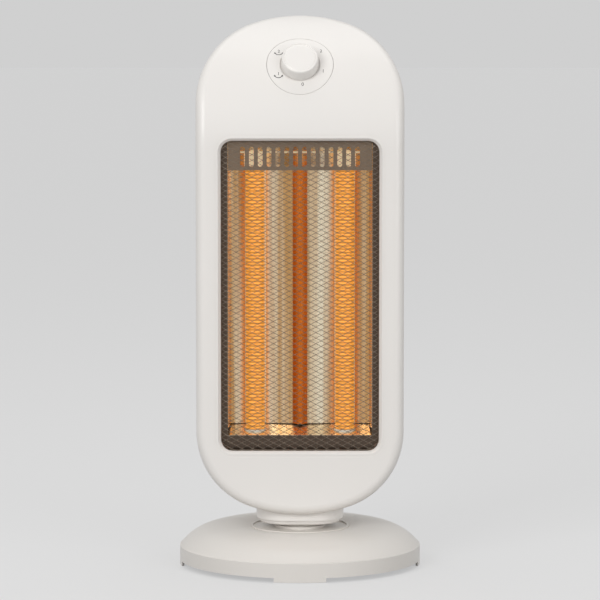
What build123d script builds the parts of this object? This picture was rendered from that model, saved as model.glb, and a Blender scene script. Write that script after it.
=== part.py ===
from build123d import *
from math import asin, cos, degrees, pi, radians, sin, sqrt
import os

os.makedirs("parts", exist_ok=True)

# Frame: origin on the floor under the turning axis, +Z up, the heating window faces -Y.

# Driving sizes of the base, in millimetres
base_radius = 127.0
rim_lift = 5.0
plate_thickness = 2.5
skirt_height = 16.0
skirt_wall = 2.5
ledge_width = 9.0
ledge_thickness = 2.5
tab_half_width = 30.0
tab_clearance = 0.5
shoulder_rise = 17.6
shoulder_width = 25.8
shoulder_bow = 0.58
crest_radius = 80.0
crest_rise = 3.6
crown_rise = 0.9
cover_wall = 2.5
seam_step = 1.2
collar_ring_radius = 52.0
collar_ring_width = 2.4
collar_ring_height = 1.2
foot_radius = 8.0
foot_circle = 104.0
base_screw_circle = 100.0
boss_radius = 4.5
post_inset = 10.0
frame_post_offset = 7.5
frame_margin = 11.0
lip_width = 6.0

# Driving sizes of the turning head
head_width = 217.0
head_bottom = 57.6
head_height = 519.6
arch_height = 88.0
arch_radius = 159.0
front_y = -50.0
seam_y = 42.0
rear_y = 62.0
crown_radius = 145.0
crown_start = 443.0
head_wall = 2.5
edge_round = 10.0
rear_round = 12.0

# Window, guard and reflector
window_width = 165.0
window_bottom = 126.0
window_height = 324.5
window_corner = 12.0
window_bevel = 3.0
window_return = 10.0
groove_offset = 4.6
groove_width = 1.6
groove_depth = 0.5
return_wall = 2.0
guard_recess = 1.0
guard_sheet = 1.0
guard_flange = 3.0
guard_columns = 12
guard_rows = 24
guard_strand = 1.5
guard_border = 4.0
sheet = 0.8
frame_sheet = 1.2
reflector_width = 151.0
reflector_depth = 41.0
floor_rise = 7.0
apron_height = 15.0
plate_overlap = 6.0
trough_floor_width = 22.0
trough_floor_offset = 47.0
wall_lean = 2.5
outer_facet_rise = 2.0
inner_facet_rise = 3.0
inner_facet_start = 26.0
ridge_half_width = 7.5
ridge_height = 7.5
vent_panel_height = 31.5
vent_slot_count = 14
vent_slot_pitch = 9.2
vent_slot_width = 5.0
vent_slot_length = 21.0
vent_slot_lift = 3.5

# Heating tubes
tube_radius = 10.0
tube_wall = 1.2
tube_length = 293.0
tube_start = 137.0
tube_axis_y = -14.0
coil_radius = 6.0
coil_wire = 1.6
coil_turns = 48
coil_start = 9.0
cap_radius = 11.5
cap_length = 14.0
cap_cover = 8.0
cap_stud_radius = 5.0
cap_stud_length = 3.0
holder_width = 15.0

# Dial and knob
dial_height = 528.6
dial_radius = 34.6
dial_gap = 0.4
dial_thickness = 5.0
knob_radius = 19.7
knob_height = 14.6
knob_taper = 1.2
knob_pocket_depth = 1.6
knob_pocket_gap = 1.4
knob_lift = 0.5
knob_wall = 2.0
shaft_radius = 3.0
shaft_length = 22.0
switch_size = 34.0
switch_depth = 24.0
bushing_radius = 5.0

# Neck, swivel and drive
neck_width = 92.0
neck_depth = 74.0
neck_corner = 34.0
neck_bottom = 45.0
neck_ledge = 5.0
neck_ledge_inset = 3.0
neck_round = 3.0
pivot_radius = 16.0
pivot_wall = 2.5
pad_rise = 2.2
pad_margin = 2.0
bush_wall = 3.0
bush_flange = 8.0
bush_flange_thickness = 2.4
arm_thickness = 2.0
arm_drop = 4.8
arm_width = 22.0
crank_radius = 11.0
crank_throw = 7.0
crank_thickness = 3.0
crank_pin_radius = 2.5
motor_radius = 24.5
motor_height = 16.5
motor_offset = 62.0
motor_ear = 5.0
motor_shaft_radius = 3.0

# Tip-over switch
tip_x = -62.0
tip_y = -10.0
plunger_radius = 4.0
plunger_travel = 4.0
plunger_flange_radius = 7.0
plunger_flange = 1.7
tip_guide_height = 6.5
tip_guide_wall = 2.5
tip_switch_width = 20.0
tip_switch_depth = 11.0
tip_switch_height = 10.0

# Screws and clearances
screw_radius = 1.5
screw_head_radius = 3.2
screw_head_height = 2.0
running = 0.05
seat = 0.3
slack = 0.15

# Sizes of the rear vents, the screw places, the parts on the heat shield and the lead's gland
vent_pitch = 9.0
vent_length = 44.0
vent_width = 4.0
vent_rows = 12
vent_columns = 3
side_post_low = 40.0
side_post_high = 60.0
end_post_offset = 45.0
end_post_low = 28.0
end_post_high = 24.0
frame_screw_inset = 20.0
frame_post_bore = 6.0
crown_sweep = 75.0
fitting_inset = 40.0
cutout_radius = 8.0
cutout_height = 9.0
block_width = 44.0
block_height = 18.0
block_depth = 13.0
terminal_pitch = 14.0
terminal_row = 10.0
terminal_radius = 2.4
terminal_depth = 4.0
gland_radius = 4.6
gland_bore = 3.2
gland_flange = 0.8
gland_length = 7.0

# Levels worked out from the sizes above
plate_top = rim_lift + plate_thickness
skirt_top = rim_lift + skirt_height
shoulder_top = skirt_top + shoulder_rise
crown_top = shoulder_top + crown_rise
head_top = head_bottom + head_height
head_half = head_width / 2
arch_drop = arch_radius - arch_height
arch_corner = (arch_radius**2 - arch_drop**2 - head_half**2) / (2 * (arch_radius - head_half))
window_top = window_bottom + window_height
window_middle = window_bottom + window_height / 2
crown_centre_y = front_y + crown_radius
dial_tilt = degrees(asin((dial_height - crown_start) / crown_radius))
dial_surface_y = crown_centre_y - crown_radius * cos(radians(dial_tilt))
dial_normal = Vector(0, -cos(radians(dial_tilt)), sin(radians(dial_tilt)))
dial_plane = Plane(origin=(0, dial_surface_y, dial_height), x_dir=(1, 0, 0), z_dir=tuple(dial_normal))
guard_front = front_y + guard_recess
return_end = front_y + head_wall + window_return
mount_y = return_end + guard_sheet
lip_y = mount_y + frame_sheet
trough_y = lip_y + reflector_depth
apron_top = window_bottom + apron_height
reflector_bottom = apron_top + floor_rise + seat
reflector_height = window_top - reflector_bottom
reflector_top = window_top
tube_low = tube_start
tube_high = tube_start + tube_length
cap_grip = cap_length - cap_cover
bush_top = crown_top + bush_flange_thickness
arm_top = crown_top - cover_wall - arm_drop
pivot_top = head_bottom + head_wall + pad_rise
arm_bottom = arm_top - arm_thickness
motor_top = plate_top + motor_height


def pill_outline(inset):
    """Tall outline of the head: straight flanks under a three-arc arch at each end."""
    half = head_half - inset
    corner = arch_corner - inset
    crown = arch_radius - inset
    spring = head_top - arch_height
    low_spring = head_bottom + arch_height
    corner_x = head_half - arch_corner
    crown_z = head_top - arch_radius
    low_crown_z = head_bottom + arch_radius
    joint = Vector(corner_x, spring - crown_z).normalized()
    bend = (Vector(1, 0) + joint).normalized()
    top_joint = Vector(0, crown_z) + joint * crown
    top_bend = Vector(corner_x, spring) + bend * corner
    low_joint = Vector(top_joint.X, low_crown_z + crown_z - top_joint.Y)
    low_bend = Vector(top_bend.X, low_spring + spring - top_bend.Y)
    Line((half, low_spring), (half, spring))
    ThreePointArc((half, spring), (top_bend.X, top_bend.Y), (top_joint.X, top_joint.Y))
    ThreePointArc((top_joint.X, top_joint.Y), (0, head_top - inset), (-top_joint.X, top_joint.Y))
    ThreePointArc((-top_joint.X, top_joint.Y), (-top_bend.X, top_bend.Y), (-half, spring))
    Line((-half, spring), (-half, low_spring))
    ThreePointArc((-half, low_spring), (-low_bend.X, low_bend.Y), (-low_joint.X, low_joint.Y))
    ThreePointArc((-low_joint.X, low_joint.Y), (0, head_bottom + inset), (low_joint.X, low_joint.Y))
    ThreePointArc((low_joint.X, low_joint.Y), (low_bend.X, low_bend.Y), (half, low_spring))


def front_solid(inset):
    """Filled front half of the head, its walls drawn in by the inset."""
    face_y = front_y + inset
    radius = crown_radius - inset
    reach = head_top - crown_start + edge_round
    bend_high = crown_start + radius * sin(radians(crown_sweep))
    bend_back = crown_centre_y - radius * cos(radians(crown_sweep))
    mid_high = crown_start + radius * sin(radians(crown_sweep / 2))
    mid_back = crown_centre_y - radius * cos(radians(crown_sweep / 2))
    with BuildPart() as filled:
        with BuildSketch(Plane.XZ.offset(-seam_y)):
            with BuildLine():
                pill_outline(inset)
            make_face()
        extrude(amount=seam_y - front_y)
        with BuildSketch(Plane.YZ):
            with BuildLine():
                Line((face_y, 0), (face_y, crown_start))
                ThreePointArc((face_y, crown_start), (mid_back, mid_high), (bend_back, bend_high))
                Line((bend_back, bend_high), (bend_back, crown_start + reach))
                Line((bend_back, crown_start + reach), (rear_y, crown_start + reach))
                Line((rear_y, crown_start + reach), (rear_y, 0))
                Line((rear_y, 0), (face_y, 0))
            make_face()
        extrude(amount=head_width, both=True, mode=Mode.INTERSECT)
        rim = filled.edges().filter_by(lambda e: e.bounding_box().max.Y < seam_y - 1)
        crease = rim.filter_by(Axis.X).filter_by(lambda e: e.length > head_half)
        fillet(rim - crease, edge_round - inset)
    return filled.part


def rear_solid(inset):
    """Filled rear part of the head, behind the seam."""
    with BuildPart() as filled:
        with BuildSketch(Plane.XZ.offset(-seam_y)):
            with BuildLine():
                pill_outline(inset)
            make_face()
        extrude(amount=-(rear_y - seam_y - inset))
        fillet(filled.faces().sort_by(Axis.Y)[-1].edges(), rear_round - inset)
    return filled.part


def ring_points(radius, count, start):
    """Points spread evenly round a circle."""
    return [(radius * cos(radians(start + 360 * k / count)), radius * sin(radians(start + 360 * k / count)))
            for k in range(count)]


def save(node, name):
    """Label a finished piece and write it out."""
    node.part.label = name
    export_step(node.part, "parts/" + name + ".step")


front_outer = front_solid(0)
front_inner = front_solid(head_wall)
rear_outer = rear_solid(0)
rear_inner = rear_solid(head_wall)
shell_screw_spots = [(x * (head_half - post_inset), z) for x in (-1, 1)
                     for z in (window_bottom + side_post_low, window_top - side_post_high)]
shell_screw_spots += [(x * end_post_offset, z) for x in (-1, 1)
                      for z in (head_bottom + end_post_low, head_top - end_post_high)]
frame_screw_spots = [(x * (window_width / 2 + frame_post_offset), z) for x in (-1, 1)
                     for z in (window_bottom + frame_screw_inset, window_top - frame_screw_inset)]

# Posts inside the front frame that the rear cover and the reflector frame screw to
with BuildPart() as shell_posts:
    with BuildSketch(Plane.XZ.offset(-seam_y)):
        with Locations(shell_screw_spots):
            Circle(boss_radius)
    extrude(amount=seam_y - front_y)
    with BuildSketch(Plane.XZ.offset(-mount_y)):
        with Locations(frame_screw_spots):
            Circle(boss_radius)
    extrude(amount=mount_y - front_y)
    add(front_outer, mode=Mode.INTERSECT)

# Flat pad inside the bottom of the head, under the flange of the pivot tube
with BuildPart() as pivot_pad:
    with BuildSketch(Plane.XY.offset(head_bottom)):
        Circle(pivot_radius + bush_flange + pad_margin)
    extrude(amount=pivot_top - head_bottom)
    add(front_outer, mode=Mode.INTERSECT)

# Shallow groove that runs round the window and follows the face
groove_floor = front_solid(groove_depth)
with BuildPart() as window_groove:
    with BuildSketch(Plane.XZ.offset(-front_y - head_wall)):
        with Locations((0, window_middle)):
            RectangleRounded(window_width + 2 * (groove_offset + groove_width),
                             window_height + 2 * (groove_offset + groove_width),
                             window_corner + groove_offset + groove_width)
            RectangleRounded(window_width + 2 * groove_offset, window_height + 2 * groove_offset,
                             window_corner + groove_offset, mode=Mode.SUBTRACT)
    extrude(amount=2 * head_wall)
    add(groove_floor, mode=Mode.SUBTRACT)

# Front frame: the white face with the heating window and the seat of the dial
with BuildPart() as front_frame:
    add(front_outer)
    add(front_inner, mode=Mode.SUBTRACT)
    add(shell_posts.part)
    add(pivot_pad.part)
    with BuildSketch(Plane.XY.offset(head_bottom)):
        Circle(pivot_radius + running)
    extrude(amount=2 * pad_rise + 2 * head_wall, both=True, mode=Mode.SUBTRACT)
    with BuildSketch(Plane.XZ.offset(-return_end)):
        with Locations((0, window_middle)):
            RectangleRounded(window_width + 2 * return_wall, window_height + 2 * return_wall,
                             window_corner + return_wall)
    extrude(amount=return_end - front_y - head_wall / 2)
    with BuildSketch(Plane.XZ.offset(-return_end)):
        with Locations((0, window_middle)):
            RectangleRounded(window_width, window_height, window_corner)
    extrude(amount=return_end - front_y + head_wall, mode=Mode.SUBTRACT)
    with BuildSketch(Plane.XZ.offset(-front_y)):
        with Locations((0, window_middle)):
            RectangleRounded(window_width + 2 * window_bevel, window_height + 2 * window_bevel,
                             window_corner + window_bevel)
    extrude(amount=-window_bevel, taper=45, mode=Mode.SUBTRACT)
    add(window_groove.part, mode=Mode.SUBTRACT)
    with BuildSketch(dial_plane.offset(-crown_radius / 2)):
        Circle(dial_radius + dial_gap)
    extrude(amount=crown_radius, mode=Mode.SUBTRACT)
    with BuildSketch(Plane.XZ.offset(-seam_y)):
        with Locations(shell_screw_spots):
            Circle(screw_radius + running)
    extrude(amount=boss_radius * 2, mode=Mode.SUBTRACT)
    with BuildSketch(Plane.XZ.offset(-mount_y)):
        with Locations(frame_screw_spots):
            Circle(screw_radius + running)
    extrude(amount=frame_post_bore, mode=Mode.SUBTRACT)
save(front_frame, "front_frame")

# Dial insert: the part of the skin inside the round seam, with a flat pocket for the knob
with BuildPart() as dial_skin:
    with BuildSketch(dial_plane.offset(-crown_radius / 4)):
        Circle(dial_radius)
    extrude(amount=crown_radius / 2)
    add(front_outer, mode=Mode.INTERSECT)
pocket_plane = dial_plane.offset(-knob_pocket_depth)
with BuildPart() as dial_plate:
    with BuildSketch(dial_plane.offset(-dial_thickness - knob_pocket_depth)):
        Circle(dial_radius)
    extrude(amount=crown_radius / 2)
    add(dial_skin.part, mode=Mode.INTERSECT)
    with BuildSketch(pocket_plane):
        Circle(knob_radius + knob_pocket_gap)
    extrude(amount=crown_radius / 4, mode=Mode.SUBTRACT)
    with BuildSketch(pocket_plane):
        Circle(bushing_radius + running)
    extrude(amount=-crown_radius / 4, mode=Mode.SUBTRACT)
save(dial_plate, "dial_plate")

# Ring on the back of the insert, wider than the seam, that holds it against the skin from inside
insert_back = dial_plane.offset(-dial_thickness - knob_pocket_depth)
with BuildPart() as dial_retainer:
    with BuildSketch(insert_back):
        Circle(dial_radius - 2)
        Circle(knob_radius, mode=Mode.SUBTRACT)
    extrude(amount=-frame_sheet)
save(dial_retainer, "dial_retainer")

# Control knob with its turned-down face
knob_plane = pocket_plane.offset(knob_lift)
with BuildPart() as control_knob:
    with BuildSketch(knob_plane):
        Circle(knob_radius)
    extrude(amount=knob_height, taper=degrees(knob_taper / knob_height))
    with BuildSketch(knob_plane):
        Circle(knob_radius - knob_wall - knob_taper)
        Circle(shaft_radius + knob_wall, mode=Mode.SUBTRACT)
    extrude(amount=knob_height - 2 * knob_wall, mode=Mode.SUBTRACT)
    with BuildSketch(knob_plane):
        Circle(shaft_radius)
    extrude(amount=knob_height - 2 * knob_wall, mode=Mode.SUBTRACT)
save(control_knob, "control_knob")

# Switch shaft, turning in the bushing and holding the knob
with BuildPart() as switch_shaft:
    with BuildSketch(knob_plane.offset(knob_height - 2 * knob_wall - seat)):
        Circle(shaft_radius)
    extrude(amount=-shaft_length)
save(switch_shaft, "switch_shaft")

# Rotary switch behind the dial: a body with a bored bushing through the insert
with BuildPart() as rotary_switch:
    with BuildSketch(insert_back.offset(-frame_sheet)):
        Rectangle(switch_size, switch_size)
    extrude(amount=-switch_depth)
    with BuildSketch(insert_back):
        Circle(bushing_radius)
    extrude(amount=dial_thickness - seat)
    with BuildSketch(insert_back):
        Circle(bushing_radius)
    extrude(amount=-frame_sheet)
    with BuildSketch(pocket_plane):
        Circle(shaft_radius + running)
    extrude(amount=-shaft_length, mode=Mode.SUBTRACT)
save(rotary_switch, "rotary_switch")

# Rear cover with rows of vent slots and posts for its screws
with BuildPart() as rear_posts:
    with BuildSketch(Plane.XZ.offset(-seam_y)):
        with Locations(shell_screw_spots):
            Circle(boss_radius)
    extrude(amount=seam_y - rear_y)
    add(rear_outer, mode=Mode.INTERSECT)
with BuildPart() as rear_cover:
    add(rear_outer)
    add(rear_inner, mode=Mode.SUBTRACT)
    add(rear_posts.part)
    with BuildSketch(Plane.XZ.offset(-rear_y)):
        vent_block = vent_rows * vent_pitch / 2
        with Locations((0, window_top - vent_block), (0, window_bottom + vent_block)):
            with GridLocations(vent_length + 2 * vent_width, vent_pitch, vent_columns, vent_rows):
                SlotOverall(vent_length, vent_width)
    extrude(amount=2 * head_wall, mode=Mode.SUBTRACT)
    with BuildSketch(Plane.XZ.offset(-rear_y)):
        with Locations(shell_screw_spots):
            Circle(screw_radius + running)
    extrude(amount=rear_y - seam_y, mode=Mode.SUBTRACT)
    with BuildSketch(Plane.XZ.offset(-rear_y)):
        with Locations(shell_screw_spots):
            Circle(screw_head_radius + slack)
    extrude(amount=screw_head_height, mode=Mode.SUBTRACT)
save(rear_cover, "rear_cover")

# Screws that hold the rear cover to the posts of the front frame
with BuildPart() as shell_screws:
    with BuildSketch(Plane.XZ.offset(-rear_y)):
        with Locations(shell_screw_spots):
            Circle(screw_head_radius)
    extrude(amount=screw_head_height)
    with BuildSketch(Plane.XZ.offset(-rear_y + screw_head_height)):
        with Locations(shell_screw_spots):
            Circle(screw_radius)
    extrude(amount=rear_y - seam_y + boss_radius)
save(shell_screws, "shell_screws")

# Wire guard in the window: a shallow tray whose face is a net of diamond gaps
guard_width = window_width - 2 * seat
guard_height = window_height - 2 * seat
net_width = guard_width - 2 * guard_border
net_height = guard_height - 2 * guard_border
gap_x = net_width / guard_columns
gap_z = net_height / guard_rows * 2
with BuildPart() as safety_guard:
    with BuildSketch(Plane.XZ.offset(-mount_y)):
        with Locations((0, window_middle)):
            RectangleRounded(guard_width + 2 * guard_flange, guard_height + 2 * guard_flange,
                             window_corner + guard_flange)
    extrude(amount=guard_sheet)
    with BuildSketch(Plane.XZ.offset(-mount_y)):
        with Locations((0, window_middle)):
            RectangleRounded(guard_width, guard_height, window_corner - seat)
    extrude(amount=mount_y - guard_front)
    with BuildSketch(Plane.XZ.offset(-mount_y)):
        with Locations((0, window_middle)):
            RectangleRounded(guard_width - 2 * guard_sheet, guard_height - 2 * guard_sheet,
                             window_corner - seat - guard_sheet)
    extrude(amount=mount_y - guard_front - guard_sheet, mode=Mode.SUBTRACT)
    with BuildSketch(Plane.XZ.offset(-guard_front)):
        with Locations((0, window_middle)):
            with GridLocations(gap_x, gap_z, guard_columns, guard_rows // 2):
                Polygon((-gap_x / 2 + guard_strand, 0), (0, gap_z / 2 - guard_strand),
                        (gap_x / 2 - guard_strand, 0), (0, -gap_z / 2 + guard_strand))
            with GridLocations(gap_x, gap_z, guard_columns - 1, guard_rows // 2 - 1):
                Polygon((-gap_x / 2 + guard_strand, 0), (0, gap_z / 2 - guard_strand),
                        (gap_x / 2 - guard_strand, 0), (0, -gap_z / 2 + guard_strand))
    extrude(amount=-2 * guard_sheet, mode=Mode.SUBTRACT)
save(safety_guard, "safety_guard")

# Sheet frame screwed behind the window, which clamps the guard and carries the reflector
frame_width = window_width + 2 * frame_margin
frame_height = window_height + 2 * frame_margin
with BuildPart() as reflector_frame:
    with BuildSketch(Plane.XZ.offset(-mount_y)):
        with Locations((0, window_middle)):
            RectangleRounded(frame_width, frame_height, window_corner)
            Rectangle(reflector_width, window_height, mode=Mode.SUBTRACT)
        with Locations(frame_screw_spots):
            Circle(screw_radius + slack, mode=Mode.SUBTRACT)
    extrude(amount=-frame_sheet)
save(reflector_frame, "reflector_frame")

with BuildPart() as frame_screws:
    with BuildSketch(Plane.XZ.offset(-lip_y)):
        with Locations(frame_screw_spots):
            Circle(screw_head_radius)
    extrude(amount=-screw_head_height)
    with BuildSketch(Plane.XZ.offset(-lip_y)):
        with Locations(frame_screw_spots):
            Circle(screw_radius)
    extrude(amount=boss_radius)
save(frame_screws, "frame_screws")

# Reflector: one folded bright sheet with a trough behind each tube and a ridge between them
half_mouth = reflector_width / 2
floor_in = trough_floor_offset - trough_floor_width / 2
floor_out = trough_floor_offset + trough_floor_width / 2
fold_front = lip_y + sheet / 2
fold_back = trough_y - sheet / 2
fold = [(half_mouth + lip_width, fold_front), (half_mouth, fold_front),
        (half_mouth - wall_lean, fold_back - outer_facet_rise), (floor_out, fold_back),
        (floor_in, fold_back), (inner_facet_start, fold_back - inner_facet_rise / 3),
        (ridge_half_width, fold_back - inner_facet_rise), (0, fold_back - inner_facet_rise - ridge_height)]
with BuildPart() as reflector:
    with BuildSketch(Plane.XY.offset(reflector_bottom)):
        with BuildLine() as fold_line:
            Polyline(*fold, *[(-x, y) for x, y in reversed(fold[:-1])])
        trace(fold_line.line, line_width=sheet)
    extrude(amount=reflector_height)
save(reflector, "reflector")


# Slotted panel at the top of the window, in front of the tube ends
panel_low = window_top - vent_panel_height
with BuildPart() as vent_plate:
    with BuildSketch(Plane.XZ.offset(-lip_y)):
        with Locations((0, (panel_low + window_top + plate_overlap) / 2)):
            Rectangle(reflector_width - sheet - 2 * slack, window_top + plate_overlap - panel_low)
        with Locations((0, panel_low + vent_slot_lift + vent_slot_length / 2)):
            with GridLocations(vent_slot_pitch, 1, vent_slot_count, 1):
                SlotOverall(vent_slot_length, vent_slot_width, rotation=90, mode=Mode.SUBTRACT)
    extrude(amount=-sheet)
save(vent_plate, "vent_plate")

# Sloping floor under the tubes, folded down in front into an apron
with BuildPart() as floor_plate:
    with BuildSketch(Plane.YZ.offset(-half_mouth + slack)):
        with BuildLine():
            Polyline((lip_y, window_bottom - plate_overlap), (lip_y + sheet, window_bottom - plate_overlap),
                     (lip_y + sheet, apron_top - sheet), (trough_y + sheet, apron_top + floor_rise - sheet),
                     (trough_y + sheet, apron_top + floor_rise), (lip_y, apron_top), close=True)
        make_face()
    extrude(amount=reflector_width - 2 * slack)
    with BuildSketch(Plane.XY.offset(window_bottom)):
        with Locations(*[(side * trough_floor_offset, tube_axis_y) for side in (-1, 1)]):
            Circle(cap_radius + seat)
    extrude(amount=reflector_height, mode=Mode.SUBTRACT)
save(floor_plate, "floor_plate")

# Quartz tubes, each with its ceramic caps and a carbon spiral inside
for side, name in ((-1, "left"), (1, "right")):
    tube_x = side * trough_floor_offset
    with BuildPart() as quartz_tube:
        with BuildSketch(Plane.XY.offset(tube_low)):
            with Locations((tube_x, tube_axis_y)):
                Circle(tube_radius)
                Circle(tube_radius - tube_wall, mode=Mode.SUBTRACT)
        extrude(amount=tube_length)
    save(quartz_tube, name + "_quartz_tube")

coil_low = tube_low + coil_start
coil_pitch = (tube_length - 2 * coil_start) / coil_turns
coil_rise = coil_pitch / 2
coil_lean = asin(coil_pitch / (2 * pi * coil_radius))
coil_gap = coil_pitch * cos(coil_lean) - coil_wire
print("least gap between coil turns", round(coil_gap, 2))
for side, name in ((-1, "left"), (1, "right")):
    coil_x = side * trough_floor_offset
    with BuildPart() as carbon_coil:
        with BuildLine() as coil_path:
            for half_turn in range(2 * coil_turns):
                way = 1 if half_turn % 2 == 0 else -1
                low = coil_low + half_turn * coil_rise
                swell = sqrt(coil_radius**2 + (coil_rise / 2) ** 2)
                ThreePointArc((coil_x, tube_axis_y - way * coil_radius, low),
                              (coil_x + way * swell, tube_axis_y, low + coil_rise / 2),
                              (coil_x, tube_axis_y + way * coil_radius, low + coil_rise))
        with BuildSketch(Plane(origin=coil_path.line @ 0, z_dir=coil_path.line % 0)):
            Circle(coil_wire / 2)
        sweep(path=coil_path.line)
    save(carbon_coil, name + "_carbon_coil")

for end, name, mouth, way in ((tube_low, "lower", 1, -1), (tube_high, "upper", -1, 1)):
    with BuildPart() as tube_caps:
        for side in (-1, 1):
            with BuildSketch(Plane.XY.offset(end - way * cap_cover)):
                with Locations((side * trough_floor_offset, tube_axis_y)):
                    Circle(cap_radius)
                    Circle(tube_radius + running, mode=Mode.SUBTRACT)
            extrude(amount=way * cap_cover)
            with BuildSketch(Plane.XY.offset(end)):
                with Locations((side * trough_floor_offset, tube_axis_y)):
                    Circle(cap_radius)
            extrude(amount=way * cap_grip)
            with BuildSketch(Plane.XY.offset(end)):
                with Locations((side * trough_floor_offset, tube_axis_y)):
                    Circle(tube_radius - tube_wall - seat)
            extrude(amount=-way * (coil_start - coil_wire / 2 - seat))
            with BuildSketch(Plane.XY.offset(end + way * cap_grip)):
                with Locations((side * trough_floor_offset, tube_axis_y)):
                    Circle(cap_stud_radius)
            extrude(amount=way * cap_stud_length)
    save(tube_caps, name + "_tube_caps")
    holder_level = end + way * cap_grip
    with BuildPart() as tube_holder:
        with BuildSketch(Plane.XY.offset(holder_level)):
            with Locations((0, tube_axis_y)):
                Rectangle(2 * (half_mouth - wall_lean - seat), holder_width)
            with Locations(*[(side * trough_floor_offset, tube_axis_y) for side in (-1, 1)]):
                Circle(cap_stud_radius + running, mode=Mode.SUBTRACT)
        extrude(amount=way * frame_sheet)
    save(tube_holder, name + "_tube_holder")

# Heat shield between the reflector and the rear cover
shield_y = trough_y + sheet
with BuildPart() as heat_shield:
    with BuildSketch(Plane.XZ.offset(-shield_y)):
        with Locations((0, reflector_bottom + reflector_height / 2)):
            Rectangle(reflector_width + 2 * lip_width, reflector_height)
    extrude(amount=-sheet)
save(heat_shield, "heat_shield")

# Safety parts on the heat shield
with BuildPart() as thermal_cutout:
    with BuildSketch(Plane.XZ.offset(-shield_y - sheet)):
        with Locations((0, reflector_top - fitting_inset)):
            Circle(cutout_radius)
    extrude(amount=-cutout_height)
save(thermal_cutout, "thermal_cutout")
with BuildPart() as terminal_block:
    with BuildSketch(Plane.XZ.offset(-shield_y - sheet)):
        with Locations((0, reflector_bottom + fitting_inset)):
            Rectangle(block_width, block_height)
    extrude(amount=-block_depth)
    with BuildSketch(Plane.XZ.offset(-shield_y - sheet - block_depth)):
        with Locations((0, reflector_bottom + fitting_inset)):
            with GridLocations(terminal_pitch, terminal_row, 3, 2):
                Circle(terminal_radius)
    extrude(amount=terminal_depth, mode=Mode.SUBTRACT)
save(terminal_block, "terminal_block")


def neck_outline(inset):
    """Plan of the neck: a rounded oblong."""
    RectangleRounded(neck_width - 2 * inset, neck_depth - 2 * inset, neck_corner - inset)


# Neck under the head, with a stepped foot and a bore for the pivot tube
with BuildPart() as neck:
    with BuildSketch(Plane.XY.offset(neck_bottom)):
        neck_outline(neck_ledge_inset)
    extrude(amount=neck_ledge)
    with BuildSketch(Plane.XY.offset(neck_bottom + neck_ledge)):
        neck_outline(0)
    extrude(amount=head_bottom - neck_bottom + arch_height / 8)
    fillet(neck.edges().group_by(Axis.Z)[0], neck_round)
    add(front_outer, mode=Mode.SUBTRACT)
    with BuildSketch(Plane.XY.offset(neck_bottom)):
        Circle(pivot_radius + running)
    extrude(amount=head_height, mode=Mode.SUBTRACT)
save(neck, "neck")

# Pivot tube: a flanged tube from inside the head down through the dome to the drive arm
with BuildPart() as pivot_tube:
    with BuildSketch(Plane.XY.offset(arm_top)):
        Circle(pivot_radius)
        Circle(pivot_radius - pivot_wall, mode=Mode.SUBTRACT)
    extrude(amount=pivot_top - arm_top)
save(pivot_tube, "pivot_tube")
with BuildPart() as pivot_flange:
    with BuildSketch(Plane.XY.offset(pivot_top)):
        Circle(pivot_radius + bush_flange)
        Circle(pivot_radius - pivot_wall, mode=Mode.SUBTRACT)
    extrude(amount=frame_sheet)
save(pivot_flange, "pivot_flange")

# Drive arm under the dome: it keeps the tube in its bush and has the slot of the crank
slot_long = 2 * (crank_throw + crank_pin_radius + slack)
with BuildPart() as drive_arm:
    with BuildSketch(Plane.XY.offset(arm_bottom)):
        Circle(pivot_radius + bush_wall)
        with Locations((0, motor_offset / 2)):
            Rectangle(arm_width, motor_offset)
        with Locations((0, motor_offset)):
            Circle(arm_width / 2)
            SlotOverall(slot_long, 2 * (crank_pin_radius + slack), rotation=90, mode=Mode.SUBTRACT)
        Circle(pivot_radius - pivot_wall, mode=Mode.SUBTRACT)
    extrude(amount=arm_thickness)
save(drive_arm, "drive_arm")

# Flanged bush in the dome, and the washer that the neck turns on
bush_radius = pivot_radius + running + bush_wall
with BuildPart() as pivot_bush:
    with BuildSketch(Plane.XY.offset(crown_top)):
        Circle(bush_radius + bush_flange)
        Circle(pivot_radius + running, mode=Mode.SUBTRACT)
    extrude(amount=bush_flange_thickness)
    with BuildSketch(Plane.XY.offset(crown_top)):
        Circle(bush_radius)
        Circle(pivot_radius + running, mode=Mode.SUBTRACT)
    extrude(amount=arm_top + seat - crown_top)
save(pivot_bush, "pivot_bush")
with BuildPart() as thrust_washer:
    with BuildSketch(Plane.XY.offset(bush_top)):
        Circle(bush_radius + bush_flange / 2)
        Circle(pivot_radius + slack, mode=Mode.SUBTRACT)
    extrude(amount=neck_bottom - bush_top - slack)
save(thrust_washer, "thrust_washer")

# Domed cover of the base
seam_radius = base_radius - seam_step


def dome_line(inset):
    """Half section of the dome, from its seam over the shoulder to the middle."""
    rim = seam_radius - inset
    edge = seam_radius - shoulder_width
    top = shoulder_top - inset
    bow = (edge + (rim - edge) * shoulder_bow, skirt_top + (top - skirt_top) * shoulder_bow)
    Line((0, skirt_top), (rim, skirt_top))
    ThreePointArc((rim, skirt_top), bow, (edge, top))
    ThreePointArc((edge, top), (crest_radius, top + crest_rise), (collar_ring_radius, crown_top - inset))
    Line((collar_ring_radius, crown_top - inset), (0, crown_top - inset))
    Line((0, crown_top - inset), (0, skirt_top))


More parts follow.
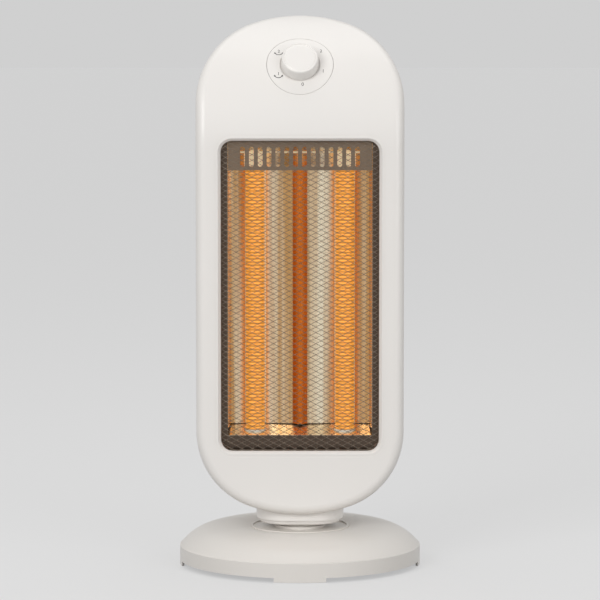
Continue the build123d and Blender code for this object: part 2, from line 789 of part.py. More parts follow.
cover_screw_spots = ring_points(base_screw_circle, 4, 45)
with BuildPart() as dome_filled:
    with BuildSketch(Plane.XZ):
        with BuildLine():
            dome_line(0)
        make_face()
    revolve(axis=Axis.Z)
with BuildPart() as dome_hollow:
    with BuildSketch(Plane.XZ):
        with BuildLine():
            dome_line(cover_wall)
        make_face()
    revolve(axis=Axis.Z)
with BuildPart() as cover_posts:
    with BuildSketch(Plane.XY.offset(skirt_top)):
        with Locations(cover_screw_spots):
            Circle(boss_radius)
    extrude(amount=crown_top)
    add(dome_filled.part, mode=Mode.INTERSECT)
    with BuildSketch(Plane.XY.offset(plate_top)):
        with Locations(cover_screw_spots):
            Circle(boss_radius)
    extrude(amount=skirt_top - plate_top)
with BuildPart() as base_cover:
    add(dome_filled.part)
    add(dome_hollow.part, mode=Mode.SUBTRACT)
    add(cover_posts.part)
    with BuildSketch(Plane.XY.offset(crown_top)):
        Circle(collar_ring_radius)
        Circle(collar_ring_radius - collar_ring_width, mode=Mode.SUBTRACT)
    extrude(amount=collar_ring_height)
    with BuildSketch(Plane.XY.offset(crown_top)):
        Circle(bush_radius)
    extrude(amount=-2 * cover_wall, mode=Mode.SUBTRACT)
    with BuildSketch(Plane.XY.offset(plate_top)):
        with Locations(cover_screw_spots):
            Circle(screw_radius + running)
    extrude(amount=skirt_height, mode=Mode.SUBTRACT)
save(base_cover, "base_cover")

# Skirt of the base, with four tabs at the floor, a ledge for the plate and a hole for the lead
gland_level = plate_top + ledge_thickness + gland_radius + gland_flange + slack
tab_gap = 2 * base_radius * sin(radians(45)) - 2 * tab_half_width * cos(radians(45))
gland_plane = Plane.XZ.offset(-base_radius + seat)
with BuildPart() as base_skirt:
    with BuildSketch(Plane.XY.offset(rim_lift)):
        Circle(base_radius)
        Circle(base_radius - skirt_wall, mode=Mode.SUBTRACT)
    extrude(amount=skirt_height)
    fillet(base_skirt.edges().group_by(Axis.Z)[-1].sort_by(SortBy.LENGTH)[-1], seam_step)
    with BuildSketch(Plane.XY.offset(plate_top)):
        Circle(base_radius - skirt_wall / 2)
        Circle(base_radius - skirt_wall - ledge_width, mode=Mode.SUBTRACT)
    extrude(amount=ledge_thickness)
    with BuildSketch(Plane.XY.offset(tab_clearance)):
        Circle(base_radius)
        Circle(base_radius - skirt_wall, mode=Mode.SUBTRACT)
    extrude(amount=rim_lift - tab_clearance)
    for turn in (45, 135, 225, 315):
        with BuildSketch(Plane.XY.offset(tab_clearance)):
            with PolarLocations(0, 1, start_angle=turn):
                with Locations((base_radius, 0)):
                    Rectangle(base_radius, tab_gap)
        extrude(amount=rim_lift - tab_clearance, mode=Mode.SUBTRACT)
    with BuildSketch(gland_plane):
        with Locations((0, gland_level)):
            Circle(gland_radius)
    extrude(amount=2 * skirt_wall, both=True, mode=Mode.SUBTRACT)
save(base_skirt, "base_skirt")

# Bushing that guides the lead through the skirt
with BuildPart() as cord_bushing:
    with BuildSketch(gland_plane):
        with Locations((0, gland_level)):
            Circle(gland_radius - slack)
    extrude(amount=gland_length)
    with BuildSketch(gland_plane.offset(skirt_wall + slack)):
        with Locations((0, gland_level)):
            Circle(gland_radius + gland_flange)
    extrude(amount=gland_flange)
    with BuildSketch(gland_plane):
        with Locations((0, gland_level)):
            Circle(gland_bore)
    extrude(amount=gland_length, mode=Mode.SUBTRACT)
save(cord_bushing, "cord_bushing")

# Floor plate of the base with the guide of the tip-over plunger
with BuildPart() as base_plate:
    with BuildSketch(Plane.XY.offset(rim_lift)):
        Circle(base_radius - skirt_wall - seat)
        with Locations(cover_screw_spots):
            Circle(screw_radius + slack, mode=Mode.SUBTRACT)
    extrude(amount=plate_thickness)
    with BuildSketch(Plane.XY.offset(plate_top)):
        with Locations((tip_x, tip_y)):
            Circle(plunger_radius + running + tip_guide_wall)
    extrude(amount=tip_guide_height)
    with BuildSketch(Plane.XY.offset(plate_top)):
        with Locations((tip_x, tip_y)):
            with GridLocations(tip_switch_width + boss_radius, 1, 2, 1):
                Rectangle(boss_radius, tip_switch_depth)
    extrude(amount=tip_guide_height + plunger_travel + plunger_flange + 2 * seat)
    with BuildSketch(Plane.XY.offset(rim_lift)):
        with Locations((tip_x, tip_y)):
            Circle(plunger_radius + running)
    extrude(amount=skirt_height, mode=Mode.SUBTRACT)
save(base_plate, "base_plate")

with BuildPart() as base_feet:
    with BuildSketch():
        with Locations(*ring_points(foot_circle, 4, 0)):
            Circle(foot_radius)
    extrude(amount=rim_lift)
    chamfer(base_feet.edges().group_by(Axis.Z)[0], seam_step)
save(base_feet, "base_feet")

with BuildPart() as base_screws:
    with BuildSketch(Plane.XY.offset(rim_lift)):
        with Locations(cover_screw_spots):
            Circle(screw_head_radius)
    extrude(amount=-screw_head_height)
    with BuildSketch(Plane.XY.offset(rim_lift)):
        with Locations(cover_screw_spots):
            Circle(screw_radius)
    extrude(amount=plate_thickness + 2 * boss_radius)
save(base_screws, "base_screws")

# Tip-over plunger and the switch over it
plunger_top = plate_top + tip_guide_height + plunger_travel + seat
with BuildPart() as tip_plunger:
    with BuildSketch(Plane.XY):
        with Locations((tip_x, tip_y)):
            Circle(plunger_radius)
    extrude(amount=plunger_top)
    with BuildSketch(Plane.XY.offset(plunger_top)):
        with Locations((tip_x, tip_y)):
            Circle(plunger_flange_radius)
    extrude(amount=plunger_flange)
save(tip_plunger, "tip_plunger")
with BuildPart() as tip_switch:
    with BuildSketch(Plane.XY.offset(plunger_top + plunger_flange + seat)):
        with Locations((tip_x, tip_y)):
            Rectangle(tip_switch_width + 2 * boss_radius, tip_switch_depth)
    extrude(amount=tip_switch_height)
save(tip_switch, "tip_switch")

# Swing motor with its ears, and the crank on its shaft
with BuildPart() as swing_motor:
    with BuildSketch(Plane.XY.offset(plate_top)):
        with Locations((0, motor_offset)):
            Circle(motor_radius)
            Rectangle(2 * (motor_radius + 2 * motor_ear), 2 * motor_ear)
    extrude(amount=frame_sheet)
    with BuildSketch(Plane.XY.offset(plate_top + frame_sheet)):
        with Locations((0, motor_offset)):
            Circle(motor_radius)
    extrude(amount=motor_height - frame_sheet)
    with BuildSketch(Plane.XY.offset(motor_top)):
        with Locations((0, motor_offset)):
            Circle(motor_shaft_radius + running)
    extrude(amount=-motor_height / 2, mode=Mode.SUBTRACT)
save(swing_motor, "swing_motor")
crank_bottom = motor_top + seat
with BuildPart() as crank:
    with BuildSketch(Plane.XY.offset(crank_bottom)):
        with Locations((0, motor_offset)):
            Circle(crank_radius)
    extrude(amount=crank_thickness)
    with BuildSketch(Plane.XY.offset(crank_bottom)):
        with Locations((0, motor_offset)):
            Circle(motor_shaft_radius)
    extrude(amount=-motor_height / 3)
    with BuildSketch(Plane.XY.offset(crank_bottom + crank_thickness)):
        with Locations((0, motor_offset + crank_throw)):
            Circle(crank_pin_radius)
    extrude(amount=arm_bottom - seat - crank_bottom - crank_thickness)
save(crank, "crank")
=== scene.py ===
"""Looks of a carbon tower heater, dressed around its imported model."""

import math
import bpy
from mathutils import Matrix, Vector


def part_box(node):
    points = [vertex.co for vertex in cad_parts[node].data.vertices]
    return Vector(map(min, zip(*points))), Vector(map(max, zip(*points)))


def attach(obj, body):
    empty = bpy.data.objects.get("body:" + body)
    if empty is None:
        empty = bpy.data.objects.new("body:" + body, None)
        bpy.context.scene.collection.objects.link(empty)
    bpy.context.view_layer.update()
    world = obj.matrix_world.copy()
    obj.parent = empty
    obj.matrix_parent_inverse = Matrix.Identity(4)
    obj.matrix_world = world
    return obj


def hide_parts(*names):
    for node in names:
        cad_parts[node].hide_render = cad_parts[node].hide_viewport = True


bl_info = {
    "name": "Carbon Tower Heater Finishes",
    "version": (1, 0, 0),
    "blender": (4, 5, 0),
    "location": "View3D > Sidebar > Heater",
    "description": "Wire guard, dial, knob, finishes and stage for a tower heater",
    "category": "Object",
}

import bmesh
import bpy
from mathutils import Matrix, Vector

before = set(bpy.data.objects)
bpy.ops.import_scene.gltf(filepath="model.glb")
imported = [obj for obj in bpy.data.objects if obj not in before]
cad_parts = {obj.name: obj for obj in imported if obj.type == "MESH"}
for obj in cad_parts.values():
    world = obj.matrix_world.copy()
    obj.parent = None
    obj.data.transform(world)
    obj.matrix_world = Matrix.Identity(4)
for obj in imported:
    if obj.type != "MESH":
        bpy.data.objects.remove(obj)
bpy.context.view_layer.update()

MM = 0.001
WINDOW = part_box("safety_guard")
# Painted shade: the dark colour given to sheets that stand in shadow inside the head.
PAINTED_SHADE = (0.12, 0.09, 0.07)
RING_WAVES = 1850.0
# Contrast and start of the brown bands painted on the reflector sheet as painted reflection.
BAND_CONTRAST = 4.0
BAND_START = 1.6
PHOTO_WIDTH = 600


class HeaterSettings(bpy.types.PropertyGroup):
    """Sizes and colours of the dressed heater."""

    mesh_width: bpy.props.FloatProperty(
        name="Mesh Width", description="Width of one diamond of the guard",
        default=11.06 * MM, unit="LENGTH")
    mesh_height: bpy.props.FloatProperty(
        name="Mesh Height", description="Height of one diamond of the guard",
        default=5.8 * MM, unit="LENGTH")
    mesh_wire: bpy.props.FloatProperty(
        name="Mesh Wire", description="Thickness of the guard's strands", default=0.8 * MM, unit="LENGTH")
    mesh_bend: bpy.props.FloatProperty(
        name="Mesh Bend", description="Radius where the guard turns back", default=3.0 * MM, unit="LENGTH")
    window_corner: bpy.props.FloatProperty(
        name="Window Corner", description="Corner radius of the guard", default=11.5 * MM, unit="LENGTH")
    guard_flange: bpy.props.FloatProperty(
        name="Guard Flange", description="Hidden lip of the guard in its box",
        default=3.0 * MM, unit="LENGTH")
    crown_radius: bpy.props.FloatProperty(
        name="Crown Radius", description="Radius of the curved top of the face",
        default=145 * MM, unit="LENGTH")
    crown_start: bpy.props.FloatProperty(
        name="Crown Start", description="Height where the face starts to curve",
        default=443 * MM, unit="LENGTH")
    face_depth: bpy.props.FloatProperty(
        name="Face Depth", description="Distance of the flat face from the axis",
        default=50 * MM, unit="LENGTH")
    dial_height: bpy.props.FloatProperty(
        name="Dial Height", description="Height of the middle of the dial",
        default=528.6 * MM, unit="LENGTH")
    mark_circle: bpy.props.FloatProperty(
        name="Mark Circle", description="Radius of the ring of marks", default=26.4 * MM, unit="LENGTH")
    mark_lift: bpy.props.FloatProperty(
        name="Mark Lift", description="Ring of marks above the middle of the dial",
        default=2.4 * MM, unit="LENGTH")
    mark_size: bpy.props.FloatProperty(
        name="Mark Size", description="Height of the numbers", default=5.4 * MM, unit="LENGTH")
    knob_radius: bpy.props.FloatProperty(
        name="Knob Radius", description="Radius of the knob", default=19.7 * MM, unit="LENGTH")
    knob_height: bpy.props.FloatProperty(
        name="Knob Height", description="Height of the knob", default=14.6 * MM, unit="LENGTH")
    knob_sink: bpy.props.FloatProperty(
        name="Knob Sink", description="Depth of the knob's foot under the face",
        default=1.1 * MM, unit="LENGTH")
    camera_distance: bpy.props.FloatProperty(
        name="Camera Distance", description="From the camera to the aim point", default=4.0, unit="LENGTH")
    camera_rise: bpy.props.FloatProperty(
        name="Camera Rise", description="Angle of the view above level",
        default=math.radians(6), subtype="ANGLE")
    aim_height: bpy.props.FloatProperty(
        name="Aim Height", description="Height the camera looks at", default=279.6 * MM, unit="LENGTH")
    focal_pixels: bpy.props.FloatProperty(
        name="Focal Pixels", description="Focal length in pixels of a 600 pixel frame", default=3797)
    white: bpy.props.FloatVectorProperty(
        name="White", description="Head plastic", default=(0.87, 0.84, 0.805), subtype="COLOR")
    # Painted shade: the base plastic is the head's white made darker, for the dimmer light on the base.
    base_white_painted_shade: bpy.props.FloatVectorProperty(
        name="Base White", description="Base plastic", default=(0.80, 0.765, 0.72), subtype="COLOR")
    glow: bpy.props.FloatVectorProperty(
        name="Glow", description="Light of the hot carbon", default=(1.0, 0.42, 0.09), subtype="COLOR")
    tube_glow: bpy.props.FloatVectorProperty(
        name="Tube Glow", description="Lit quartz", default=(0.84, 0.37, 0.06), subtype="COLOR")
    # Painted reflection: chrome with a warm tint painted on, for the tubes' orange glow it mirrors; used for
    # the reflector and the floor sheet.
    mirror: bpy.props.FloatVectorProperty(
        name="Mirror Sheet", description="Reflector sheet", default=(1.0, 0.86, 0.65), subtype="COLOR")
    # Painted reflection: brown bands painted on the reflector for the warm light its facets mirror.
    painted_reflection_tint: bpy.props.FloatVectorProperty(
        name="Painted Reflection Tint", description="Brown bands of the reflector",
        default=(0.66, 0.38, 0.15), subtype="COLOR")
    floor_rise: bpy.props.FloatProperty(
        name="Floor Rise", description="Rise of the sloping sheet under the tubes",
        default=7.2 * MM, unit="LENGTH")
    wire: bpy.props.FloatVectorProperty(
        name="Wire", description="Guard wire", default=(0.24, 0.20, 0.16), subtype="COLOR")
    mark_colour: bpy.props.FloatVectorProperty(
        name="Mark Colour", description="Printed marks", default=(0.03, 0.03, 0.03), subtype="COLOR")


def settings():
    return bpy.context.scene.heater


class Value:
    """A shader socket that takes part in sums."""

    def __init__(self, shader, socket):
        self.shader = shader
        self.socket = socket

    def join(self, operation, first, second):
        return self.shader.node("ShaderNodeMath", {"operation": operation}, {0: first, 1: second})[0]

    def __add__(self, other):
        return self.join("ADD", self, other)

    def __radd__(self, other):
        return self.join("ADD", other, self)

    def __sub__(self, other):
        return self.join("SUBTRACT", self, other)

    def __rsub__(self, other):
        return self.join("SUBTRACT", other, self)

    def __mul__(self, other):
        return self.join("MULTIPLY", self, other)

    def __rmul__(self, other):
        return self.join("MULTIPLY", other, self)


class Shader:
    """A material or a world under construction."""

    def __init__(self, owner, surface="Principled BSDF"):
        owner.use_nodes = True
        self.material = owner
        self.tree = owner.node_tree
        self.surface = self.tree.nodes[surface]

    def put(self, socket, value):
        if isinstance(value, Value):
            self.tree.links.new(value.socket, socket)
        else:
            socket.default_value = value

    def node(self, kind, settings_of=None, inputs=None):
        made = self.tree.nodes.new(kind)
        for key, value in (settings_of or {}).items():
            setattr(made, key, value)
        for key, value in (inputs or {}).items():
            self.put(made.inputs[key], value)
        return [Value(self, socket) for socket in made.outputs]

    def set(self, **values):
        for key, value in values.items():
            self.put(self.surface.inputs[key.replace("_", " ")], value)

    def place(self):
        return self.node("ShaderNodeTexCoord")[3]

    def height(self):
        return self.node("ShaderNodeSeparateXYZ", {}, {"Vector": self.place()})[2]

    def noise(self, scale, detail=3.0, stretch=None):
        """Soft noise, drawn out along an axis where a stretch is given."""
        place = self.place()
        if stretch:
            place = self.node("ShaderNodeMapping", {}, {"Vector": place, "Scale": stretch})[0]
        return self.node("ShaderNodeTexNoise", {}, {"Vector": place, "Scale": scale, "Detail": detail})[0]

    def mix(self, factor, low, high):
        made = self.tree.nodes.new("ShaderNodeMix")
        made.data_type = "RGBA"
        self.put(made.inputs[0], factor)
        self.put(made.inputs[6], (*low, 1))
        self.put(made.inputs[7], (*high, 1))
        return Value(self, made.outputs[2])

    def bump(self, height, strength, distance=0.0002):
        inputs = {"Strength": strength, "Distance": distance, "Height": height}
        return self.node("ShaderNodeBump", {}, inputs)[0]


def tinted(colour, factor):
    return tuple(min(1, part * factor) for part in colour)


def moulded_plastic(name, colour, roughness=0.32):
    """Satin plastic with a faint cloud of colour and a fine moulded grain."""
    s = Shader(bpy.data.materials.new(name))
    cloud = s.noise(9)
    s.set(Base_Color=s.mix(cloud, tinted(colour, 0.985), tinted(colour, 1.01)),
          Roughness=roughness + 0.06 * s.noise(60), Normal=s.bump(s.noise(1400, 2), 0.06))
    s.surface.inputs["Coat Weight"].default_value = 0.15
    s.surface.inputs["Coat Roughness"].default_value = 0.2
    return s.material


def bright_metal(name, colour, roughness, streak=0.05, painted_reflection=None, painted_shade_below=None):
    """Metal sheet with rolling marks drawn out along its height.

    The painted reflection colour comes and goes across the sheet in vertical bands, and the painted shade
    colour ends at a height.
    """
    s = Shader(bpy.data.materials.new(name))
    lines = s.noise(4.0, stretch=(90, 90, 3))
    base = s.mix(lines, tinted(colour, 0.92), tinted(colour, 1.04))
    # Painted reflection: brown vertical bands stand in for the warm light mirrored by the reflector's facets.
    if painted_reflection:
        bands = s.noise(1.0, 4.0, stretch=(75, 0, 1.2))
        base = s.mix(BAND_CONTRAST * bands - BAND_START, painted_reflection, tinted(colour, 1.04))
    # Painted shade: below the given height the sheet takes the dark shade colour, for the shadow on the
    # folded-down apron.
    if painted_shade_below:
        above = s.height().join("GREATER_THAN", s.height(), painted_shade_below)
        base = s.mix(above, PAINTED_SHADE, colour)
    s.set(Base_Color=base, Metallic=1.0, Roughness=roughness + streak * lines, Normal=s.bump(lines, 0.12))
    return s.material


def glowing(name, colour, strength, dark):
    """Surface that gives light of its own, brighter and duller in patches: a real glow on the hot carbon,
    painted light on the upper tube caps and holder.
    """
    s = Shader(bpy.data.materials.new(name))
    patch = s.noise(220)
    s.set(Base_Color=s.mix(patch, tinted(colour, dark), colour), Roughness=0.6,
          Emission_Color=s.mix(patch, tinted(colour, 0.85), colour))
    s.surface.inputs["Emission Strength"].default_value = strength
    return s.material


def lit_quartz(name, colour):
    """Quartz filled with light: see-through in fine rings, warm all over."""
    s = Shader(bpy.data.materials.new(name))
    rings = s.node("ShaderNodeMath", {"operation": "SINE"}, {0: s.height() * RING_WAVES})[0] * 0.5 + 0.5
    s.set(Base_Color=s.mix(rings, tinted(colour, 0.3), tinted(colour, 0.6)), Roughness=0.12 + 0.05 * rings,
          Emission_Color=s.mix(rings, tinted(colour, 0.45), colour), Alpha=0.8 - 0.2 * rings)
    s.surface.inputs["Emission Strength"].default_value = 0.8
    return s.material


def printed(name, colour):
    s = Shader(bpy.data.materials.new(name))
    s.set(Base_Color=s.mix(s.noise(900), colour, tinted(colour, 1.8)), Roughness=0.5)
    return s.material


def rough_solid(name, colour, roughness):
    s = Shader(bpy.data.materials.new(name))
    s.set(Base_Color=s.mix(s.noise(300), tinted(colour, 0.85), tinted(colour, 1.1)),
          Roughness=roughness + 0.1 * s.noise(500), Normal=s.bump(s.noise(900), 0.1))
    return s.material


def finish_piece(name, bm, material, body, smooth=True):
    """Turn a bmesh into a finished piece that rides on a body."""
    mesh = bpy.data.meshes.new(name)
    bm.to_mesh(mesh)
    bm.free()
    for face in mesh.polygons:
        face.use_smooth = smooth
    mesh.materials.append(material)
    piece = bpy.data.objects.new(name, mesh)
    bpy.context.scene.collection.objects.link(piece)
    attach(piece, body)
    return piece


def dress(node, material):
    """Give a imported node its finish."""
    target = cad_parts[node]
    target.data.materials.clear()
    target.data.materials.append(material)


def rim_distance(x, z, half_x, half_z, corner):
    """Distance outside a rounded rectangle, and the direction away from it."""
    away_x = abs(x) - half_x + corner
    away_z = abs(z) - half_z + corner
    if away_x > 0 and away_z > 0:
        length = math.hypot(away_x, away_z)
        return length - corner, away_x / length * math.copysign(1, x), away_z / length * math.copysign(1, z)
    if away_x > away_z:
        return away_x - corner, math.copysign(1, x), 0.0
    return away_z - corner, 0.0, math.copysign(1, z)


def crown_point(right, up, lift=0.0):
    """Place on the curved top of the face, by arc length from the middle of the dial."""
    s = settings()
    tilt = math.asin((s.dial_height - s.crown_start) / s.crown_radius)
    angle = tilt + up / s.crown_radius
    radius = s.crown_radius + lift
    return Vector((right, s.crown_radius - s.face_depth - radius * math.cos(angle),
                   s.crown_start + radius * math.sin(angle)))


def dial_frame(sink):
    """Turns a shape built round +Z to stand on the dial."""
    s = settings()
    tilt = math.asin((s.dial_height - s.crown_start) / s.crown_radius)
    return Matrix.Translation(crown_point(0, 0, -sink)) @ Matrix.Rotation(math.pi / 2 - tilt, 4, "X")


class HEATER_OT_guard(bpy.types.Operator):
    """Weave the wire guard and bend its edges back into the window"""

    bl_idname = "heater.guard"
    bl_label = "Wire Guard"

    def execute(self, context):
        s = settings()
        low, high = Vector(WINDOW[0]), Vector(WINDOW[1])
        half_x = (high.x - low.x) / 2 - s.guard_flange - s.mesh_bend
        half_z = (high.z - low.z) / 2 - s.guard_flange - s.mesh_bend
        middle = (high.z + low.z) / 2
        corner = s.window_corner - s.mesh_bend
        depth = high.y - low.y - s.mesh_wire
        arc = s.mesh_bend * math.pi / 2
        reach = arc + depth - s.mesh_bend
        cells = 2 * math.ceil((half_x + reach) / s.mesh_width + (half_z + reach) / s.mesh_height)
        bm = bmesh.new()
        bmesh.ops.create_grid(bm, x_segments=cells, y_segments=cells, size=cells / math.sqrt(8))
        bmesh.ops.rotate(bm, verts=bm.verts, matrix=Matrix.Rotation(math.pi / 4, 3, "Z"))
        bmesh.ops.scale(bm, vec=(s.mesh_width, s.mesh_height, 1), verts=bm.verts)
        bmesh.ops.rotate(bm, verts=bm.verts, matrix=Matrix.Rotation(math.pi / 2, 3, "X"))
        outside = [v for v in bm.verts if rim_distance(v.co.x, v.co.z, half_x, half_z, corner)[0] > reach]
        bmesh.ops.delete(bm, geom=outside, context="VERTS")
        for v in bm.verts:
            gone, way_x, way_z = rim_distance(v.co.x, v.co.z, half_x, half_z, corner)
            back = 0.0
            if gone > 0:
                turn = min(gone / s.mesh_bend, math.pi / 2)
                out = s.mesh_bend * math.sin(turn) - gone
                back = s.mesh_bend * (1 - math.cos(turn)) + max(0, gone - arc)
                v.co += Vector((way_x * out, 0, way_z * out))
            v.co += Vector((0, low.y + s.mesh_wire / 2 + back, middle))
        guard = finish_piece("wire_guard", bm, bright_metal("guard_wire", s.wire, 0.3), "head")
        strands = guard.modifiers.new("Strands", "WIREFRAME")
        strands.thickness = s.mesh_wire
        strands.use_even_offset = False
        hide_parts("safety_guard")
        return {"FINISHED"}


class HEATER_OT_knob(bpy.types.Operator):
    """Turn the knob with its softly rounded rim and stepped face"""

    bl_idname = "heater.knob"
    bl_label = "Control Knob"

    def execute(self, context):
        s = settings()
        section = ((0.88, 0.03), (0.985, 0.0), (1.0, 0.03), (0.985, 0.5), (0.972, 0.84), (0.95, 0.93),
                   (0.905, 0.975), (0.86, 0.98), (0.85, 0.93), (0.825, 0.925), (0.81, 0.985),
                   (0.6, 0.998), (0.0, 1.0))
        bm = bmesh.new()
        points = [bm.verts.new((r * s.knob_radius, 0, h * s.knob_height)) for r, h in section]
        points.insert(0, bm.verts.new((0, 0, section[0][1] * s.knob_height)))
        edges = [bm.edges.new(pair) for pair in zip(points, points[1:])]
        bmesh.ops.spin(bm, geom=points + edges, axis=(0, 0, 1), cent=(0, 0, 0), steps=72,
                       angle=2 * math.pi, use_merge=True, use_duplicate=False)
        bmesh.ops.remove_doubles(bm, verts=bm.verts, dist=1e-6)
        bmesh.ops.recalc_face_normals(bm, faces=bm.faces)
        bmesh.ops.transform(bm, matrix=dial_frame(s.knob_sink), verts=bm.verts)
        knob = finish_piece("dial_knob", bm, moulded_plastic("knob_plastic", tinted(s.white, 1.03), 0.28),
                            "knob")
        softened = knob.modifiers.new("Softened", "SUBSURF")
        softened.levels = 1
        softened.render_levels = 1
        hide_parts("control_knob")
        return {"FINISHED"}


class HEATER_OT_marks(bpy.types.Operator):
    """Print the heat numbers and the swing signs round the dial"""

    bl_idname = "heater.marks"
    bl_label = "Dial Marks"

    steps = ((56, "2", False), (114, "1", False), (174, "0", False), (238, "1", True), (303, "2", True))

    def number(self, text, size):
        curve = bpy.data.curves.new("number", "FONT")
        curve.body = text
        curve.size = size
        curve.align_x = "CENTER"
        curve.align_y = "CENTER"
        carrier = bpy.data.objects.new("number", curve)
        mesh = bpy.data.meshes.new_from_object(carrier)
        bpy.data.objects.remove(carrier)
        return mesh

    def swing_sign(self, bm, size):
        """An arc under the number with an arrow head at each end."""
        inner = bm.verts.new((0, -0.78 * size, 0))
        outer = bm.verts.new((0, -0.92 * size, 0))
        start = [inner, outer, bm.edges.new((inner, outer))]
        bmesh.ops.rotate(bm, verts=[inner, outer], matrix=Matrix.Rotation(math.radians(-55), 3, "Z"))
        bmesh.ops.spin(bm, geom=start, axis=(0, 0, 1), cent=(0, 0, 0), steps=12, angle=math.radians(110))
        for side in (-1, 1):
            head = bmesh.ops.create_circle(bm, segments=3, radius=0.24 * size, cap_ends=True)["verts"]
            turn = Matrix.Rotation(math.radians(side * 60), 4, "Z")
            point = Matrix.Translation((0, -0.85 * size, 0)) @ Matrix.Rotation(side * math.pi / 6, 4, "Z")
            bmesh.ops.transform(bm, verts=head, matrix=turn @ point)

    def execute(self, context):
        s = settings()
        bm = bmesh.new()
        for turn, text, swings in self.steps:
            mark = bmesh.new()
            mark.from_mesh(self.number(text, s.mark_size))
            if swings:
                self.swing_sign(mark, s.mark_size)
            angle = math.radians(turn)
            right, up = s.mark_circle * math.sin(angle), s.mark_lift + s.mark_circle * math.cos(angle)
            centre = Vector((right, up, 0))
            bmesh.ops.translate(mark, vec=centre, verts=mark.verts)
            sheet = bpy.data.meshes.new("mark")
            mark.to_mesh(sheet)
            bm.from_mesh(sheet)
            mark.free()
        bmesh.ops.triangulate(bm, faces=bm.faces)
        for v in bm.verts:
            v.co = crown_point(v.co.x, v.co.y, 0.06 * MM)
        for face in bm.faces:
            if face.normal.y > 0:
                face.normal_flip()
        ink = printed("print_black", s.mark_colour)
        finish_piece("dial_marks", bm, ink, "head", smooth=False)
        return {"FINISHED"}


class HEATER_OT_finishes(bpy.types.Operator):
    """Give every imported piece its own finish"""

    bl_idname = "heater.finishes"
    bl_label = "Finishes"

    def execute(self, context):
        s = settings()
        white = moulded_plastic("white_plastic", s.white)
        # The base's darker white is painted shade.
        base = moulded_plastic("base_plastic", s.base_white_painted_shade, 0.36)
        dark = rough_solid("dark_plastic", (0.04, 0.04, 0.04), 0.45)
        steel = bright_metal("zinc_steel", (0.55, 0.55, 0.54), 0.35)
        # The reflector sheet carries painted reflection: brown bands over a warm tint.
        mirror = bright_metal("mirror_sheet", s.mirror, 0.2, painted_reflection=s.painted_reflection_tint)
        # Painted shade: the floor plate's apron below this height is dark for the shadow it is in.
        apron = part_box("floor_plate")[1][2] - s.floor_rise
        folded = bright_metal("folded_sheet", s.mirror, 0.25, painted_shade_below=apron)
        # Painted shade: the vent plate is dark brown for the shadow it sits in and the dark it reflects.
        vent = bright_metal("vent_sheet_painted_shade", (0.24, 0.18, 0.13), 0.4)
        # Painted shade: the reflector frame takes the dark shade colour for the shadow it stands in.
        shade = bright_metal("painted_shade_sheet", PAINTED_SHADE, 0.45)
        ceramic = rough_solid("ceramic", (0.75, 0.71, 0.62), 0.4)
        # Painted light: the upper tube caps and holder glow softly, standing in for the tubes' light falling
        # on them.
        warm = glowing("painted_glow_ceramic", (0.95, 0.72, 0.45), 0.45, 0.8)
        rubber = rough_solid("rubber", (0.05, 0.05, 0.05), 0.7)
        hot = glowing("hot_carbon", s.glow, 2.2, 0.6)
        quartz = lit_quartz("lit_quartz", s.tube_glow)
        groups = (
            (white, ("front_frame", "rear_cover", "dial_plate", "neck")),
            (base, ("base_cover", "base_skirt", "pivot_bush", "thrust_washer")),
            (dark, ("base_plate", "cord_bushing", "tip_switch", "tip_plunger", "rotary_switch")),
            (steel, ("base_screws", "shell_screws", "frame_screws", "swing_motor", "dial_retainer",
                     "lower_tube_holder", "heat_shield", "thermal_cutout", "pivot_tube", "pivot_flange",
                     "drive_arm", "switch_shaft", "crank")),
            (mirror, ("reflector",)),
            (folded, ("floor_plate",)),
            (shade, ("reflector_frame",)),
            (vent, ("vent_plate",)),
            (ceramic, ("lower_tube_caps", "terminal_block")),
            (warm, ("upper_tube_caps", "upper_tube_holder")),
            (rubber, ("base_feet",)),
            (hot, ("left_carbon_coil", "right_carbon_coil")),
            (quartz, ("left_quartz_tube", "right_quartz_tube")),
        )
        for material, nodes in groups:
            for node in nodes:
                dress(node, material)
        return {"FINISHED"}


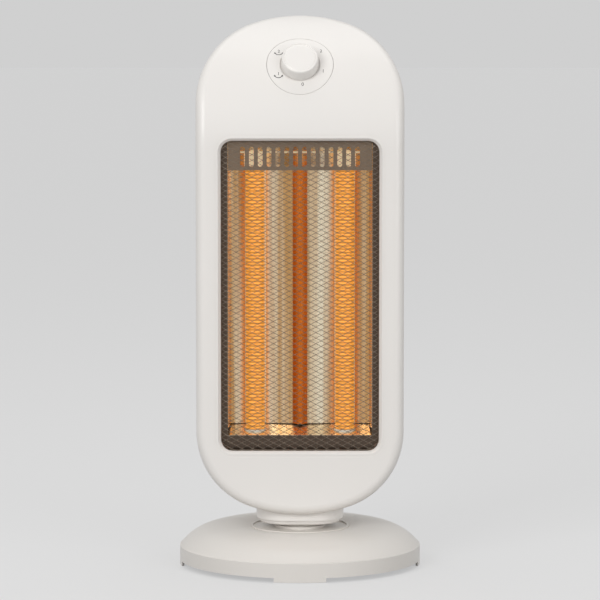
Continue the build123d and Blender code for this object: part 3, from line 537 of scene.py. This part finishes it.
class HEATER_OT_stage(bpy.types.Operator):
    """Lay the pale floor, hang the lamps and set up the camera"""

    bl_idname = "heater.stage"
    bl_label = "Stage"

    lamps = (("key", (-1.5, -2.6, 1.5), 1.6, 40), ("fill", (1.7, -2.4, 1.0), 1.6, 19),
             ("top", (0, 0.4, 2.4), 1.6, 8))
    sky_light = 0.5
    sky_extra = 0.13
    floor_glow = 0.45

    def seen(self, shader):
        """One where the camera, a mirror or glass looks at the backdrop, nought where light falls from it."""
        camera, _, _, glossy, _, _, through = shader.node("ShaderNodeLightPath")[:7]
        return camera.join("MAXIMUM", camera, glossy.join("MAXIMUM", glossy, through))

    def floor(self):
        bm = bmesh.new()
        bmesh.ops.create_grid(bm, x_segments=1, y_segments=1, size=12)
        mesh = bpy.data.meshes.new("floor")
        bm.to_mesh(mesh)
        bm.free()
        floor = bpy.data.objects.new("floor", mesh)
        bpy.context.scene.collection.objects.link(floor)
        paper = Shader(bpy.data.materials.new("floor_paper"))
        paper.set(Base_Color=(0.30, 0.30, 0.30, 1), Roughness=0.9, Emission_Color=(1, 1, 1, 1),
                  Emission_Strength=self.floor_glow * self.seen(paper))
        mesh.materials.append(paper.material)

    def execute(self, context):
        s = settings()
        scene = context.scene
        self.floor()
        aim = Vector((0, 0, s.aim_height))
        for name, place, size, power in self.lamps:
            data = bpy.data.lights.new(name, "AREA")
            data.size = size
            data.energy = power
            lamp = bpy.data.objects.new(name, data)
            lamp.location = place
            lamp.rotation_euler = (aim - Vector(place)).to_track_quat("-Z", "Y").to_euler()
            scene.collection.objects.link(lamp)
        data = bpy.data.cameras.new("camera")
        data.lens = data.sensor_width * s.focal_pixels / PHOTO_WIDTH
        camera = bpy.data.objects.new("camera", data)
        back = Vector((0, -math.cos(s.camera_rise), math.sin(s.camera_rise)))
        camera.location = aim + s.camera_distance * back
        camera.rotation_euler = (math.pi / 2 - s.camera_rise, 0, 0)
        scene.collection.objects.link(camera)
        scene.camera = camera
        scene.view_settings.view_transform = "Standard"
        world = bpy.data.worlds.new("studio")
        scene.world = world
        sky = Shader(world, "Background")
        sky.set(Color=(1, 1, 1, 1), Strength=self.sky_light + self.sky_extra * self.seen(sky))
        return {"FINISHED"}


class HEATER_PT_panel(bpy.types.Panel):
    """Shows a button for each step that dresses the heater"""

    bl_label = "Heater"
    bl_space_type = "VIEW_3D"
    bl_region_type = "UI"
    bl_category = "Heater"

    def draw(self, context):
        for operator in OPERATORS:
            self.layout.operator(operator.bl_idname)


OPERATORS = (HEATER_OT_stage, HEATER_OT_finishes, HEATER_OT_guard, HEATER_OT_knob, HEATER_OT_marks)
CLASSES = (HeaterSettings, *OPERATORS, HEATER_PT_panel)


def register():
    for item in CLASSES:
        bpy.utils.register_class(item)
    bpy.types.Scene.heater = bpy.props.PointerProperty(type=HeaterSettings)


def unregister():
    del bpy.types.Scene.heater
    for item in reversed(CLASSES):
        bpy.utils.unregister_class(item)


def main():
    register()
    bpy.ops.heater.stage()
    bpy.ops.heater.finishes()
    bpy.ops.heater.guard()
    bpy.ops.heater.knob()
    bpy.ops.heater.marks()


if __name__ == "__main__":
    main()
